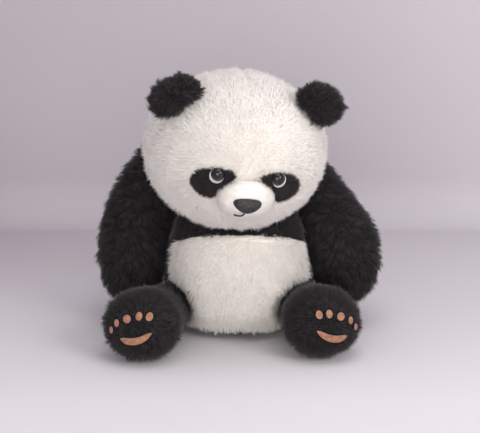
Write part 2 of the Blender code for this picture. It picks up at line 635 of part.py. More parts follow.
def make_torso(rooms):
    """Belly, yoke, back and seat panels over the body stuffing, pellet bag, neck plug and tail."""
    head_room = cutter("head_room", head_rings(0.0, HEAD_ROOM))
    last = len(TORSO_LEVELS) - 1
    front, seam = BELLY_ANGLE, SEAM_ANGLE

    def seat(_):
        return SEAT_LEVEL + SEAM

    def top(_):
        return last

    panels = {
        "belly_panel": (-front + seam, front - seam, seat, lambda a: belly_seam(a) - SEAM),
        "chest_yoke": (-front + seam, front - seam, lambda a: belly_seam(a) + SEAM, top),
        "right_back_panel": (front + seam, math.pi - seam, seat, top),
        "left_back_panel": (-math.pi + seam, -front - seam, seat, top),
    }
    for name, (first, final, low, high) in panels.items():
        angles = [first + (final - first) * c / PANEL_COLUMNS for c in range(PANEL_COLUMNS + 1)]
        slot = "white_pile" if name == "belly_panel" else "black_pile"
        piece = panel(name, torso_grid(angles, low, high, 0.0), torso_grid(angles, low, high, -WALL), slot)
        carve(piece, rooms + [head_room])

    floor_y = (TORSO_LEVELS[0][2] + TORSO_LEVELS[0][3]) / 2
    angles = circle(TORSO_SIDES)

    def level_ring(step, grow):
        return [torso_point(a, step, grow) for a in angles]

    def flat_ring(share, height, grow):
        centre = Vector((TORSO_SHIFT, floor_y, height))
        return [centre + (Vector((p.x, p.y, height)) - centre) * share for p in level_ring(0, grow)]

    rings = [[Vector((TORSO_SHIFT, floor_y, 0))], flat_ring(0.6, 0.0, 0.0), level_ring(0, 0.0),
             level_ring(SEAT_LEVEL - SEAM, 0.0), level_ring(SEAT_LEVEL - SEAM, -WALL),
             flat_ring(0.94, WALL, 0.0), flat_ring(0.6, WALL, 0.0), [Vector((TORSO_SHIFT, floor_y, WALL))]]
    sew("seat_panel", rings, "black_pile")

    depth = -WALL - BODY_LOOSE
    floor = WALL + LOOSE
    fill = [[Vector((TORSO_SHIFT, floor_y, floor))], flat_ring(0.5, floor, 0.0), flat_ring(0.93, floor, 0.0)]
    fill += [level_ring(step, depth) for step in (1.15, 2, 3, 4, 5, 6, 7, 7.9)]
    fill += [[Vector(TORSO_TOP) - Vector((0, 0, 0.010))]]
    stuffing = sew("body_stuffing", fill, "stuffing")
    socket = cutter("neck_room", neck_rings(NECK_RADIUS + NECK_ROOM, 0.050, NECK_LENGTH + 0.036))

    bag_centre = Vector((PELLET_AT[0], PELLET_AT[1], floor + 0.0002))

    def bag(grow, bottom):
        rings = [[bag_centre + Vector((0, 0, bottom))]]
        for t in (0, 25, 50, 75):
            t = math.radians(t)
            rings.append([bag_centre + Vector(((PELLET_HALF[0] + grow) * math.cos(t) * math.cos(a),
                                               (PELLET_HALF[1] + grow) * math.cos(t) * math.sin(a),
                                               bottom * (t == 0) + (PELLET_HALF[2] + grow) * math.sin(t)))
                          for a in circle(20)])
        return rings + [[bag_centre + Vector((0, 0, PELLET_HALF[2] + grow))]]

    sew("pellet_bag", bag(0.0, 0.0), "pellet_cloth")
    bag_room = cutter("pellet_room", bag(LOOSE * 1.5, -0.004))
    carve(stuffing, rooms + [head_room, socket, bag_room])

    plug = sew("neck_plug", neck_rings(NECK_RADIUS, 0.055, NECK_LENGTH + 0.025), "stuffing")
    carve(plug, [cutter("plug_room", head_rings(0.0, NECK_CLEARANCE))])

    def on_back(across, up, lift):
        wide = TORSO_LEVELS[2][3] - TORSO_LEVELS[2][2]
        step = 2 + (TAIL_HEIGHT + up - TORSO_LEVELS[2][0]) / (TORSO_LEVELS[3][0] - TORSO_LEVELS[2][0])
        return torso_point(math.pi - across / (wide / 2), step, lift)

    outline = [(TAIL_RADIUS * math.cos(a), TAIL_RADIUS * math.sin(a)) for a in circle(20)]
    heights = [(0, 0.0006), (0.6, 0.0006)] + [(s, 0.0016 + TAIL_LENGTH * (1 - s ** 2.2) ** 0.6)
                                              for s in (1.0, 0.9, 0.7, 0.4)] + [(0, 0.0016 + TAIL_LENGTH)]
    sew("tail", pillow(on_back, (0.0, 0.0), outline, heights), "white_pile")


def make_pads(name, stations):
    """Five toe pads and a smile-shaped heel pad on a foot's sole."""
    centre, wide, high = stations[-1]
    centre = Vector(centre)
    ahead = (centre - Vector(stations[-2][0])).normalized()
    across = (Vector((1, 0, 0)) - ahead * ahead.x).normalized()
    over = ahead.cross(across)
    if over.z < 0:
        over = -over
    shift = PAD_SHIFT[name]
    sign = math.copysign(1.0, centre.x)
    reach = (wide + high) / 2 * SOLE_DEPTH

    def on_sole(u, w, lift):
        u, w = u + shift[0], w + shift[1]
        depth = math.sqrt(1.0 - (u / wide) ** 2 - (w / high) ** 2)
        base = across * (sign * u) + over * w + ahead * (reach * depth)
        normal = across * (sign * u / wide ** 2) + over * (w / high ** 2) + ahead * (depth / reach)
        return centre + base + normal.normalized() * (lift + PAD_LIFT)

    layers = ((0, 0.0), (0.5, 0.0), (1, 0.0), (1, PAD_THICKNESS * 0.7), (0.85, PAD_THICKNESS),
              (0, PAD_THICKNESS))
    for k, (u, w, half_u, half_w) in enumerate(TOES, 1):
        outline = [(u + half_u * math.cos(a), w + half_w * math.sin(a)) for a in circle(9)]
        sew(f"{name}_toe_pad_{k}", pillow(on_sole, (u, w), outline, layers), "suede")

    def heel(s, t):
        middle = HEEL_BEND[0] + HEEL_BEND[1] * s + HEEL_BEND[2] * s * s
        thick = HEEL_THICK * math.sqrt(max(0.0, 1.0 - abs(s) ** 3.0)) + 0.0008
        return HEEL_SHIFT + HEEL_HALF * s, middle + thick * (t - 0.5)

    columns = [-1.0 + k / 5.0 for k in range(11)]
    grids = [[[on_sole(*heel(s, t), lift) for s in columns] for t in (0.0, 0.5, 1.0)]
             for lift in (PAD_THICKNESS, 0.0)]
    panel(f"{name}_heel_pad", grids[0], grids[1], "suede")


def main():
    """Build the panda in an empty scene."""
    for old in list(bpy.data.objects):
        bpy.data.objects.remove(old, do_unlink=True)
    make_head()
    make_ears()
    room = []
    for name, stations in ARMS.items():
        make_limb(name, stations)
        room.append(limb_room(name, stations, "X", (0.0, -ARM_SWING / 2, -ARM_SWING)))
    for name, stations in LEGS.items():
        make_limb(name, stations, SOLE_DEPTH)
        make_pads(name.replace("_leg", "_foot"), stations)
        room.append(limb_room(name, stations, "Z", (-LEG_SPREAD, 0.0, LEG_SPREAD), SOLE_DEPTH))
    make_torso(room)
    guides = [piece for piece in bpy.data.objects if piece.display_type == "WIRE"]
    for guide in guides:
        bpy.data.objects.remove(guide, do_unlink=True)


main()
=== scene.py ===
"""Sitting plush panda: pile cloth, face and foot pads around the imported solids.

Each soft piece is a stuffed skin with its pile standing on it as closed tufts. "left" is the side at
-X, seen from the front. Lengths are metres.
"""

import math

import bmesh
import bpy
import numpy as np
from bpy.props import FloatProperty, FloatVectorProperty, PointerProperty
from mathutils import Matrix, Vector
from mathutils.bvhtree import BVHTree
from mathutils.kdtree import KDTree


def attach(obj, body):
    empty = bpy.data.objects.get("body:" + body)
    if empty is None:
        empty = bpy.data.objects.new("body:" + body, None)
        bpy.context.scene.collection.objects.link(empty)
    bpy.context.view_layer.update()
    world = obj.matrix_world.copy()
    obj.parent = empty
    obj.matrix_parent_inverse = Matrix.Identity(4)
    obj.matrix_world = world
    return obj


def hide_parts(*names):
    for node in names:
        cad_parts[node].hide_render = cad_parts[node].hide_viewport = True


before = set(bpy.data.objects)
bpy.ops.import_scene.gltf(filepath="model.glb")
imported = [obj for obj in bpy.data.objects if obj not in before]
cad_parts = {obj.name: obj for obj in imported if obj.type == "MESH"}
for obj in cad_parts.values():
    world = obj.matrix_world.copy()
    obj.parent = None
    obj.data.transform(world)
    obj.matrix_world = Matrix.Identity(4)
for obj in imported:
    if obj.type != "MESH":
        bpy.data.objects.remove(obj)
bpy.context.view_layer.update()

bl_info = {
    "name": "Plush Panda",
    "version": (1, 0, 0),
    "blender": (4, 5, 0),
    "location": "View3D > Sidebar > Plush Panda",
    "description": "Builds a sitting plush panda in long and short pile cloth",
    "category": "Add Mesh",
}

SIDES = ("left", "right")
TORSO_PANELS = ("belly_panel", "chest_yoke", "left_back_panel", "right_back_panel", "seat_panel")
FLOOR_GAP = 0.0004      # how near the ground cloth and pile come
UV_LAYER = "OFBake"     # each tuft's own place in the pile's colour map
PADS = ["heel_pad"] + [f"toe_pad_{k}" for k in range(1, 6)]

# How far the backing cloth lies under the outside of the toy
HEAD_DEPTH = 0.0033
BODY_DEPTH = 0.0040
ARM_DEPTH = 0.0032
LEG_DEPTH = 0.0042
EAR_DEPTH = 0.0008

# How many tufts stand on each skin, and the least room that one needs
TUFTS = {"head": 50000, "torso": 60000, "arm": 16500, "leg": 14500, "ear": 4900, "tail": 2600,
         "patch": 6500, "muzzle": 19000}
LEAST_ROOM = 0.0015

# Cloth: remesh sizes, how far the stuffing swells it, and the seams' draw
BODY_VOXEL = 0.0040
LIMB_VOXEL = 0.0035
SOFT_SWELL = 0.0015
BODY_SWELL = 0.0040
SEAM_WIDTH = 0.006
SEAM_DRAW = 0.0012
SWELL_FRAMES = 20

# The largest distance between pieces that is measured, for the room a tuft has
FAR = 0.03

# Half the length of the head's middle section of pile, from front to back
CROWN_HALF = 0.028

# Eyes
EYE_RADIUS = 0.0066
EYE_HEIGHT = 0.0048
CRESCENT_RADIUS = 0.0070
CRESCENT_SHIFT = (0.0011, -0.0019)   # outwards and down
BROW = 0.011            # how near a patch white pile leans over it

# Pile left beside the seams down the middle
CROWN_SEAM = 0.0028
BELLY_SEAM = 0.0022

# Stage
BACKDROP_Y = 0.46
CAMERA_AIM = (0.0, -0.015, 0.130)
CAMERA_SHIFT = (0.00625, -0.0019)
WORLD_LIGHT = 0.64
WORLD_TINT = (0.80, 0.78, 0.84, 1.0)
LIGHTS = (
    # name, place, aim, size, watts, tint
    ("key", (1.15, -1.30, 0.95), (0.0, 0.0, 0.10), 0.8, 13.5, (1.0, 0.975, 0.94)),
    ("fill", (-0.20, -1.75, 0.26), (0.0, 0.0, 0.12), 1.2, 19.5, (1.0, 0.98, 0.95)),
    ("top", (0.20, -0.45, 1.60), (0.0, 0.0, 0.10), 1.0, 7.5, (1.0, 0.99, 1.0)),
)


def colour(name, description, default):
    """A colour setting."""
    return FloatVectorProperty(name=name, description=description, subtype="COLOR", size=3,
                               min=0.0, max=1.0, default=default)


def length(name, description, default):
    """A length setting."""
    return FloatProperty(name=name, description=description, unit="LENGTH", precision=5,
                         min=0.0, max=3.0, default=default)


class PandaPile(bpy.types.PropertyGroup):
    """How long and how dense the pile is."""

    head: length("Head pile", "Length of the white pile on the head", 0.0086)
    belly: length("Belly pile", "Length of the white pile on the belly", 0.0075)
    back: length("Back pile", "Length of the black pile on the body", 0.0090)
    arm: length("Arm pile", "Length of the black pile on the arms", 0.0110)
    leg: length("Leg pile", "Length of the black pile on the legs", 0.0092)
    ear: length("Ear pile", "Length of the black pile on the ears", 0.0084)
    patch: length("Patch pile", "Length of the short black pile round the eyes", 0.0042)
    muzzle: length("Muzzle pile", "Length of the short pile on the muzzle", 0.0019)
    radius: length("Tuft radius", "Radius of a tuft at its root", 0.00040)
    share: FloatProperty(name="Density", description="Share of the full number of tufts", min=0.05,
                         max=2.0, default=1.0)


class PandaColours(bpy.types.PropertyGroup):
    """Colours of the cloths and the moulded parts."""

    # Painted shade: the root colours are darker than the tip colours, for the shade deep in the pile,
    # and the backing cloth takes them too.
    white_root: colour("White, root", "White pile near the cloth", (0.91, 0.86, 0.80))
    white_tip: colour("White, tip", "White pile at its tips", (0.95, 0.905, 0.86))
    black_root: colour("Black, root", "Black pile near the cloth", (0.006, 0.005, 0.006))
    black_tip: colour("Black, tip", "Black pile at its tips", (0.034, 0.028, 0.031))
    muzzle: colour("Muzzle", "Short pile of the muzzle", (0.95, 0.905, 0.85))
    suede: colour("Suede", "Pads under the feet", (0.27, 0.115, 0.062))
    suede_worn: colour("Suede, worn", "Rubbed places on the pads", (0.37, 0.18, 0.105))
    pad_edge: colour("Pad edge", "Thread round the pads", (0.26, 0.22, 0.21))
    nose: colour("Nose", "Moulded nose", (0.009, 0.008, 0.009))
    iris: colour("Iris", "Brown ring of the eye", (0.030, 0.021, 0.017))
    pupil: colour("Pupil", "Middle of the eye", (0.004, 0.004, 0.005))
    crescent: colour("Crescent", "Pale disc behind the eye", (0.56, 0.53, 0.58))
    thread: colour("Thread", "Sewn mouth", (0.016, 0.013, 0.014))


class PandaStage(bpy.types.PropertyGroup):
    """Floor, light and camera."""

    ground: colour("Ground", "Floor in front", (0.76, 0.73, 0.755))
    # Painted shade: the backdrop colours are darker than the ground, and darker at the left than at the
    # right.
    backdrop: colour("Backdrop", "Backdrop, and the floor near it, at the left", (0.43, 0.385, 0.42))
    backdrop_right: colour("Backdrop, right", "The same at the right", (0.53, 0.495, 0.525))
    distance: length("Distance", "Camera to the toy's middle", 1.4)
    elevation: FloatProperty(name="Elevation", description="Camera's height as an angle",
                             subtype="ANGLE", default=math.radians(14.5))
    lens: FloatProperty(name="Lens", description="Focal length in millimetres on a 36 mm sensor",
                        min=10.0, max=300.0, default=101.85)


# ---------------- mesh helpers


def select_only(piece):
    """Make a piece the only selected object, and the active one."""
    bpy.ops.object.select_all(action="DESELECT")
    piece.select_set(True)
    bpy.context.view_layer.objects.active = piece


def finish_with(piece, kind, **values):
    """Add a modifier with these settings and apply it."""
    select_only(piece)
    modifier = piece.modifiers.new(kind.lower(), kind)
    for key, value in values.items():
        setattr(modifier, key, value)
    bpy.ops.object.modifier_apply(modifier=modifier.name)


def coordinates(piece):
    """A piece's vertices as an array."""
    points = np.empty(len(piece.data.vertices) * 3)
    piece.data.vertices.foreach_get("co", points)
    return points.reshape(-1, 3)


def vertex_normals(piece):
    """A piece's vertex normals as an array."""
    normals = np.empty(len(piece.data.vertices) * 3, np.float32)
    piece.data.vertex_normals.foreach_get("vector", normals)
    return normals.reshape(-1, 3).astype(float)


def move_to(piece, points):
    """Give a piece's vertices new places."""
    piece.data.vertices.foreach_set("co", points.ravel())
    piece.data.update()


def unit(vectors):
    """Vectors scaled to length one."""
    return vectors / np.maximum(np.linalg.norm(vectors, axis=-1, keepdims=True), 1e-9)


def new_piece(name, mesh):
    """An object for a mesh, linked to the scene."""
    piece = bpy.data.objects.new(name, mesh)
    bpy.context.scene.collection.objects.link(piece)
    return piece


def copy_nodes(name, nodes):
    """One new piece that holds merged copies of CAD nodes."""
    shape = bmesh.new()
    for node in nodes:
        shape.from_mesh(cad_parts[node].data)
    bmesh.ops.remove_doubles(shape, verts=shape.verts, dist=0.00001)
    mesh = bpy.data.meshes.new(name)
    shape.to_mesh(mesh)
    shape.free()
    mesh.materials.clear()
    return new_piece(name, mesh)


def keep_outside(piece):
    """Delete every loose body of a piece but the largest."""
    shape = bmesh.new()
    shape.from_mesh(piece.data)
    unseen = set(shape.verts)
    largest = set()
    while unseen:
        body = {unseen.pop()}
        edge = body
        while edge:
            edge = {other for v in edge for e in v.link_edges for other in e.verts} & unseen
            unseen -= edge
            body |= edge
        if len(body) > len(largest):
            largest = body
    spare = [v for v in shape.verts if v not in largest]
    bmesh.ops.delete(shape, geom=spare, context="VERTS")
    shape.to_mesh(piece.data)
    shape.free()


def remeshed(name, nodes, voxel, rounds):
    """CAD nodes as one even, closed, smoothed skin."""
    piece = copy_nodes(name, nodes)
    finish_with(piece, "REMESH", mode="VOXEL", voxel_size=voxel)
    keep_outside(piece)
    finish_with(piece, "SMOOTH", factor=0.5, iterations=rounds)
    return piece


def swell(piece, cap, pressure=4.0, pinned=None):
    """Blow a stuffed skin up a little as cloth, moving no point further than the cap."""
    scene = bpy.context.scene
    start = coordinates(piece)
    cloth = piece.modifiers.new("stuffing", "CLOTH")
    cloth.settings.quality = 5
    cloth.settings.mass = 0.3
    cloth.settings.tension_stiffness = 15.0
    cloth.settings.compression_stiffness = 15.0
    cloth.settings.bending_stiffness = 0.5
    cloth.settings.use_pressure = True
    cloth.settings.uniform_pressure_force = pressure
    cloth.settings.effector_weights.gravity = 0.0
    if pinned is not None:
        group = piece.vertex_groups.new(name="seams")
        for index, weight in enumerate(pinned):
            if weight > 0.02:
                group.add([index], float(min(weight, 1.0)), "REPLACE")
        cloth.settings.vertex_group_mass = group.name
    for step in range(1, SWELL_FRAMES + 1):
        scene.frame_set(step)
    graph = bpy.context.evaluated_depsgraph_get()
    swollen = piece.evaluated_get(graph).data
    points = np.empty(len(swollen.vertices) * 3)
    swollen.vertices.foreach_get("co", points)
    moved = points.reshape(-1, 3) - start
    far = np.linalg.norm(moved, axis=1, keepdims=True)
    select_only(piece)
    bpy.ops.object.modifier_apply(modifier=cloth.name)
    move_to(piece, start + moved * np.minimum(1.0, cap / np.maximum(far, 1e-9)))
    piece.vertex_groups.clear()
    scene.frame_set(1)


def sink(piece, depth):
    """Move a skin inwards by the depth of its pile, keeping it above the ground."""
    points = coordinates(piece) - vertex_normals(piece) * depth
    points[:, 2] = np.maximum(points[:, 2], FLOOR_GAP)
    move_to(piece, points)


def search_tree(piece):
    """A piece's surface, for finding the nearest point on it."""
    graph = bpy.context.evaluated_depsgraph_get()
    return BVHTree.FromObject(piece, graph)


def node_tree(node):
    """A CAD node's surface, for finding the nearest point on it."""
    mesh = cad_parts[node].data
    return BVHTree.FromPolygons([v.co for v in mesh.vertices], [p.vertices[:] for p in mesh.polygons])


def distances(trees, points, reach=0.05):
    """How far each point is from the nearest of several surfaces."""
    best = np.full(len(points), reach)
    for tree in trees:
        for index, point in enumerate(points):
            found = tree.find_nearest(point, best[index])
            if found[0] is not None:
                best[index] = found[3]
    return best


def node_middle(node):
    """The mean of a CAD node's vertices."""
    points = coordinates(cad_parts[node])
    return Vector(np.unique(points.round(6), axis=0).mean(0))


def set_attribute(mesh, name, values):
    """Store one number for each vertex."""
    values = np.asarray(values, np.float32)
    mesh.attributes.new(name, "FLOAT", "POINT").data.foreach_set("value", values)


# ---------------- pile


def waves(points, size, seed):
    """Smooth noise of about -1 to 1 with features of this size."""
    rng = np.random.default_rng(seed)
    total = np.zeros(len(points))
    for _ in range(6):
        along = points @ unit(rng.normal(size=3)) * (2 * math.pi / size)
        total += np.sin(along * rng.uniform(0.7, 1.5) + rng.uniform(0, 6.3))
    return total / 3.0


class Roots:
    """Where tufts stand on a skin: points, normals and the room there is before other pieces."""

    def __init__(self, skin, count, seed, room=None):
        count = int(count * bpy.context.scene.panda_pile.share)
        mesh = skin.data
        mesh.calc_loop_triangles()
        corners = np.empty(len(mesh.loop_triangles) * 3, np.int32)
        mesh.loop_triangles.foreach_get("vertices", corners)
        corners = corners.reshape(-1, 3)
        points, normals = coordinates(skin), vertex_normals(skin)
        a, b, c = points[corners[:, 0]], points[corners[:, 1]], points[corners[:, 2]]
        area = np.linalg.norm(np.cross(b - a, c - a), axis=1)
        rng = np.random.default_rng(seed)
        ladder = np.cumsum(area)
        ladder /= ladder[-1]
        pick = np.searchsorted(ladder, (np.arange(count) + rng.random(count)) / count)
        pick = np.minimum(pick, len(corners) - 1)
        u, v = rng.random(count), rng.random(count)
        over = u + v > 1.0
        u[over], v[over] = 1.0 - u[over], 1.0 - v[over]
        shares = np.stack([1.0 - u - v, u, v], 1)[:, :, None]
        chosen = corners[pick]
        self.points = (points[chosen] * shares).sum(1)
        self.normals = unit((normals[chosen] * shares).sum(1))
        self.room = np.full(count, 1.0)
        if room is not None:
            self.room = (room[chosen] * shares[:, :, 0]).sum(1)
        self.rng = rng

    def only(self, mask):
        """The roots where the mask is true, as a new set."""
        chosen = Roots.__new__(Roots)
        chosen.points, chosen.normals = self.points[mask], self.normals[mask]
        chosen.room, chosen.rng = self.room[mask], self.rng
        return chosen

    def part_along(self, middle, across, length):
        """Shorten the pile beside the seam in the plane through middle and square to across."""
        beside = np.abs((self.points - np.array(middle)) @ unit(np.array(across)))
        self.room = np.minimum(self.room, length + 1.4 * beside)

    def clear_of(self, trees, reach=0.014):
        """The roots with none of these surfaces straight above them."""
        clear = [all(tree.ray_cast(point, normal, reach)[0] is None for tree in trees)
                 for point, normal in zip(self.points, self.normals)]
        return self.only(np.array(clear))


def tuft_mesh(name, spines, rings, tips, shading, tone):
    """Closed three-sided tufts as one mesh: spines and rings at each height, then the tips."""
    count, levels = rings.shape[:2]
    corners = 3 * levels + 1
    points = np.concatenate([rings.reshape(count, 3 * levels, 3), tips[:, None]], 1)
    outward = unit(points - np.concatenate([spines.repeat(3, 1), spines[:, -1:]], 1))
    points[:, :, 2] = np.maximum(points[:, :, 2], FLOOR_GAP)
    pattern = [(2, 1, 0)]
    for i, j in ((0, 1), (1, 2), (2, 0)):
        for level in range(levels - 1):
            low, high = 3 * level, 3 * level + 3
            pattern += [(low + i, low + j, high + j), (low + i, high + j, high + i)]
        pattern.append((corners - 4 + i, corners - 4 + j, corners - 1))
    faces = (np.arange(count)[:, None, None] * corners + np.array(pattern)).reshape(-1)
    mesh = bpy.data.meshes.new(name)
    mesh.vertices.add(count * corners)
    mesh.vertices.foreach_set("co", points.astype(np.float32).ravel())
    mesh.loops.add(len(faces))
    mesh.loops.foreach_set("vertex_index", faces.astype(np.int32))
    mesh.polygons.add(len(faces) // 3)
    mesh.polygons.foreach_set("loop_start", np.arange(0, len(faces), 3, dtype=np.int32))
    mesh.update(calc_edges=True)
    mesh.polygons.foreach_set("use_smooth", np.ones(len(faces) // 3, bool))

    heights = np.append(np.arange(levels).repeat(3) / levels, 1.0)
    cells = math.ceil(math.sqrt(count))
    across = np.append(np.tile([0.12, 0.50, 0.88], levels), 0.50)
    upwards = 0.08 + 0.84 * heights + 0.06 * np.append(np.tile([0.0, 1.0, 0.0], levels), 0.0)
    order = np.arange(count)
    u = ((order % cells)[:, None] + across) / cells
    v = ((order // cells)[:, None] + upwards) / cells
    layer = mesh.uv_layers.new(name=UV_LAYER)
    places = np.stack([u.reshape(-1)[faces], v.reshape(-1)[faces]], 1)
    layer.data.foreach_set("uv", places.astype(np.float32).ravel())

    set_attribute(mesh, "tip", np.tile(heights, count))
    set_attribute(mesh, "tone", np.repeat(tone, corners))
    normals = unit(outward * 0.22 + shading[:, None])
    mesh.normals_split_custom_set_from_vertices(normals.reshape(-1, 3))
    return mesh


def grow_pile(name, roots, pile, lay, lean=(0.45, 0.95), clump=(10, 0.35), scatter=0.5, radius=1.0,
              levels=2):
    """Pile of a length on these roots, combed towards lay and drawn together in small clumps."""
    settings = bpy.context.scene.panda_pile
    points, normals, rng = roots.points, roots.normals, roots.rng
    count = len(points)
    along = lay(points, normals)
    along = unit(along - normals * (along * normals).sum(1, keepdims=True))
    side = np.cross(normals, along)
    turn = rng.normal(0.0, scatter, count)[:, None] + 0.5 * waves(points, 0.03, 5)[:, None]
    along, side = (along * np.cos(turn) + side * np.sin(turn),
                   side * np.cos(turn) - along * np.sin(turn))
    reach = pile * rng.uniform(0.65, 1.20, count)
    reach *= 1.0 + 0.13 * waves(points, 0.022, 9) + 0.16 * waves(points, 0.008, 7)
    reach = np.minimum(reach, 0.0024 + 0.9 * np.maximum(roots.room, 0.0))[:, None]
    first, last = np.array(lean)[:, None, None] + rng.normal(0.0, 0.16, (2, count, 1))
    up = normals * np.cos(first) + along * np.sin(first)
    onward = normals * np.cos(last) + along * np.sin(last)
    middles = points + up * reach * 0.5
    tips = middles + onward * reach * 0.55
    size, strength = clump
    leaders = rng.permutation(count)[:max(1, count // size)]
    finder = KDTree(len(leaders))
    for slot, leader in enumerate(leaders):
        finder.insert(points[leader], slot)
    finder.balance()
    nearest = leaders[[finder.find(point)[1] for point in points]]
    pull = (strength * rng.uniform(0.5, 1.3, count))[:, None]
    tips = tips + (tips[nearest] - tips) * pull
    middles = middles + (middles[nearest] - middles) * pull * 0.4

    thick = settings.radius * radius * rng.uniform(0.75, 1.25, count)[:, None]
    other = np.cross(up, side)
    spines = np.stack([points - normals * 0.0004, middles], 1)[:, :levels]
    rings = np.empty((count, levels, 3, 3))
    for corner in range(3):
        angle = corner * 2 * math.pi / 3
        spoke = side * math.cos(angle) + other * math.sin(angle)
        for level in range(levels):
            rings[:, level, corner] = spines[:, level] + spoke * thick * (1.0 - 0.28 * level)
    tone = np.clip(0.5 + 0.22 * waves(points, 0.012, 3) + rng.normal(0.0, 0.16, count), 0.0, 1.0)
    return new_piece(name, tuft_mesh(name, spines, rings, tips, normals, tone))


def downwards(points, normals):
    """Pile that hangs."""
    return np.tile([0.0, -0.15, -1.0], (len(points), 1))


def over_edges(trees, beyond, reach):
    """Pile laid like beyond, but near these surfaces combed over their edges."""

    def lay(points, normals):
        towards = beyond(points, normals)
        for tree in trees:
            for index, point in enumerate(points):
                place, _, _, far = tree.find_nearest(point, reach)
                if place is not None and far > 0.0002:
                    share = 1.0 - far / reach
                    towards[index] += (np.array(place) - point) / far * 2.4 * share
        return towards
    return lay


def away_from(centre, droop):
    """Pile that is combed away from a point, and droops."""
    centre = np.array(centre)

    def lay(points, normals):
        return unit(points - centre) + np.array([0.0, 0.0, -droop])
    return lay


# ---------------- materials


class Nodes:
    """A short way to write a material's nodes."""

    def __init__(self, name):
        self.material = bpy.data.materials.new(name)
        self.material.use_nodes = True
        self.tree = self.material.node_tree
        self.shader = self.tree.nodes["Principled BSDF"]

    def add(self, kind, inputs=(), **settings):
        """A node with settings, and inputs by name or number as values or sockets."""
        node = self.tree.nodes.new(kind)
        for key, value in settings.items():
            setattr(node, key, value)
        for key, value in dict(inputs).items():
            self.put(node, key, value)
        return node

    def put(self, node, key, value):
        """Set or link one input."""
        if isinstance(value, bpy.types.NodeSocket):
            self.tree.links.new(value, node.inputs[key])
        elif isinstance(value, (tuple, list)) and len(value) == 3 and node.inputs[key].type == "RGBA":
            node.inputs[key].default_value = (*value, 1.0)
        else:
            node.inputs[key].default_value = value

    def place(self):
        """The piece's own coordinates."""
        return self.add("ShaderNodeTexCoord").outputs["Object"]

    def attribute(self, name):
        """A number stored on the mesh."""
        return self.add("ShaderNodeAttribute", attribute_name=name).outputs["Fac"]

    def noise(self, scale, detail=3.0, roughness=0.5):
        """Noise over the piece, from 0 to 1."""
        node = self.add("ShaderNodeTexNoise", {"Vector": self.place(), "Scale": scale, "Detail": detail,
                                               "Roughness": roughness})
        return node.outputs["Fac"]

    def mix(self, share, one, two, blend="MIX"):
        """Two colours mixed by a share."""
        node = self.add("ShaderNodeMix", data_type="RGBA", blend_type=blend)
        self.put(node, 0, share)
        self.put(node, 6, one)
        self.put(node, 7, two)
        return node.outputs[2]

    def shaded(self, colour, share):
        """A colour made darker or lighter by a number."""
        grey = self.add("ShaderNodeCombineColor", {"Red": share, "Green": share, "Blue": share})
        return self.mix(1.0, colour, grey.outputs[0], "MULTIPLY")

    def spread(self, value, low, high, to_low=0.0, to_high=1.0):
        """A number moved from one range to another, and kept in it."""
        node = self.add("ShaderNodeMapRange", {"Value": value, "From Min": low, "From Max": high,
                                               "To Min": to_low, "To Max": to_high})
        return node.outputs["Result"]

    def bump(self, height, strength, distance):
        """Small relief on the surface."""
        node = self.add("ShaderNodeBump", {"Height": height, "Strength": strength,
                                           "Distance": distance})
        self.put(self.shader, "Normal", node.outputs["Normal"])

    def finish(self, **values):
        """Set the shader's own inputs; an underscore stands for a space."""
        for key, value in values.items():
            self.put(self.shader, key.replace("_", " "), value)
        return self.material


def stored(make):
    """Make a material only once."""
    made = {}

    def get(*words):
        if words not in made:
            made[words] = make(*words)
        return made[words]
    return get


@stored
def pile_material(shade):
    """Tufts with painted shade that makes them darker towards the root, each with its own tone."""
    colours = bpy.context.scene.panda_colours
    root, tip = getattr(colours, shade + "_root")[:], getattr(colours, shade + "_tip")[:]
    k = Nodes(shade + " pile")
    # Painted shade: each tuft runs from the darker root colour up to the tip colour.
    height = k.spread(k.attribute("tip"), 0.0, 0.8)
    body = k.mix(height, root, tip)
    white = shade == "white"
    tone = k.spread(k.attribute("tone"), 0.0, 1.0, *((0.93, 1.04) if white else (0.45, 1.55)))
    drift = k.spread(k.noise(38.0), 0.3, 0.7, 0.97, 1.02)
    both = k.add("ShaderNodeMath", {0: tone, 1: drift}, operation="MULTIPLY").outputs[0]
    final = k.shaded(body, both)
    rough = k.spread(k.attribute("tone"), 0.0, 1.0, 0.72, 0.92)
    return k.finish(Base_Color=final, Roughness=rough, Sheen_Weight=0.25 if white else 0.12,
                    Sheen_Roughness=0.5 if white else 0.4, Specular_IOR_Level=0.2 if white else 0.25)


@stored
def cloth_material(shade):
    """Backing cloth under the pile, in the pile's darker root colours, which hold painted shade; the
    torso's is white only under the belly.
    """
    colours = bpy.context.scene.panda_colours
    k = Nodes(shade + " backing cloth")
    white, black = colours.white_root[:], colours.black_root[:]
    base = white if shade == "white" else black
    if shade == "torso":
        base = k.mix(k.attribute("white"), black, white)
    drift = k.spread(k.noise(60.0), 0.3, 0.7, 0.85, 1.05)
    k.bump(k.noise(1800.0, 1.0), 0.4, 0.0004)
    return k.finish(Base_Color=k.shaded(base, drift), Roughness=0.92)


def dress(piece, material, body, smooth=True):
    """Give a finished piece its material, body and softness."""
    piece.data.materials.clear()
    piece.data.materials.append(material)
    if smooth:
        piece.data.polygons.foreach_set("use_smooth", np.ones(len(piece.data.polygons), bool))
    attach(piece, body)
    return piece


# ---------------- skins


def skin(name):
    """A skin made earlier."""
    return bpy.data.objects[name + "_skin"]


def room_on(name, others):
    """How far a skin's vertices are from other skins."""
    return distances([search_tree(skin(other)) for other in others], coordinates(skin(name)), FAR)


class PANDA_OT_head(bpy.types.Operator):
    """The head's stuffed skin"""

    bl_idname = "panda.head"
    bl_label = "Head"

    def execute(self, context):
        piece = remeshed("head_skin", ("head_cover", "head_stuffing"), BODY_VOXEL, 10)
        swell(piece, SOFT_SWELL)
        sink(piece, HEAD_DEPTH)
        dress(piece, cloth_material("white"), "head")
        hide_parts("head_cover", "head_stuffing")
        return {"FINISHED"}


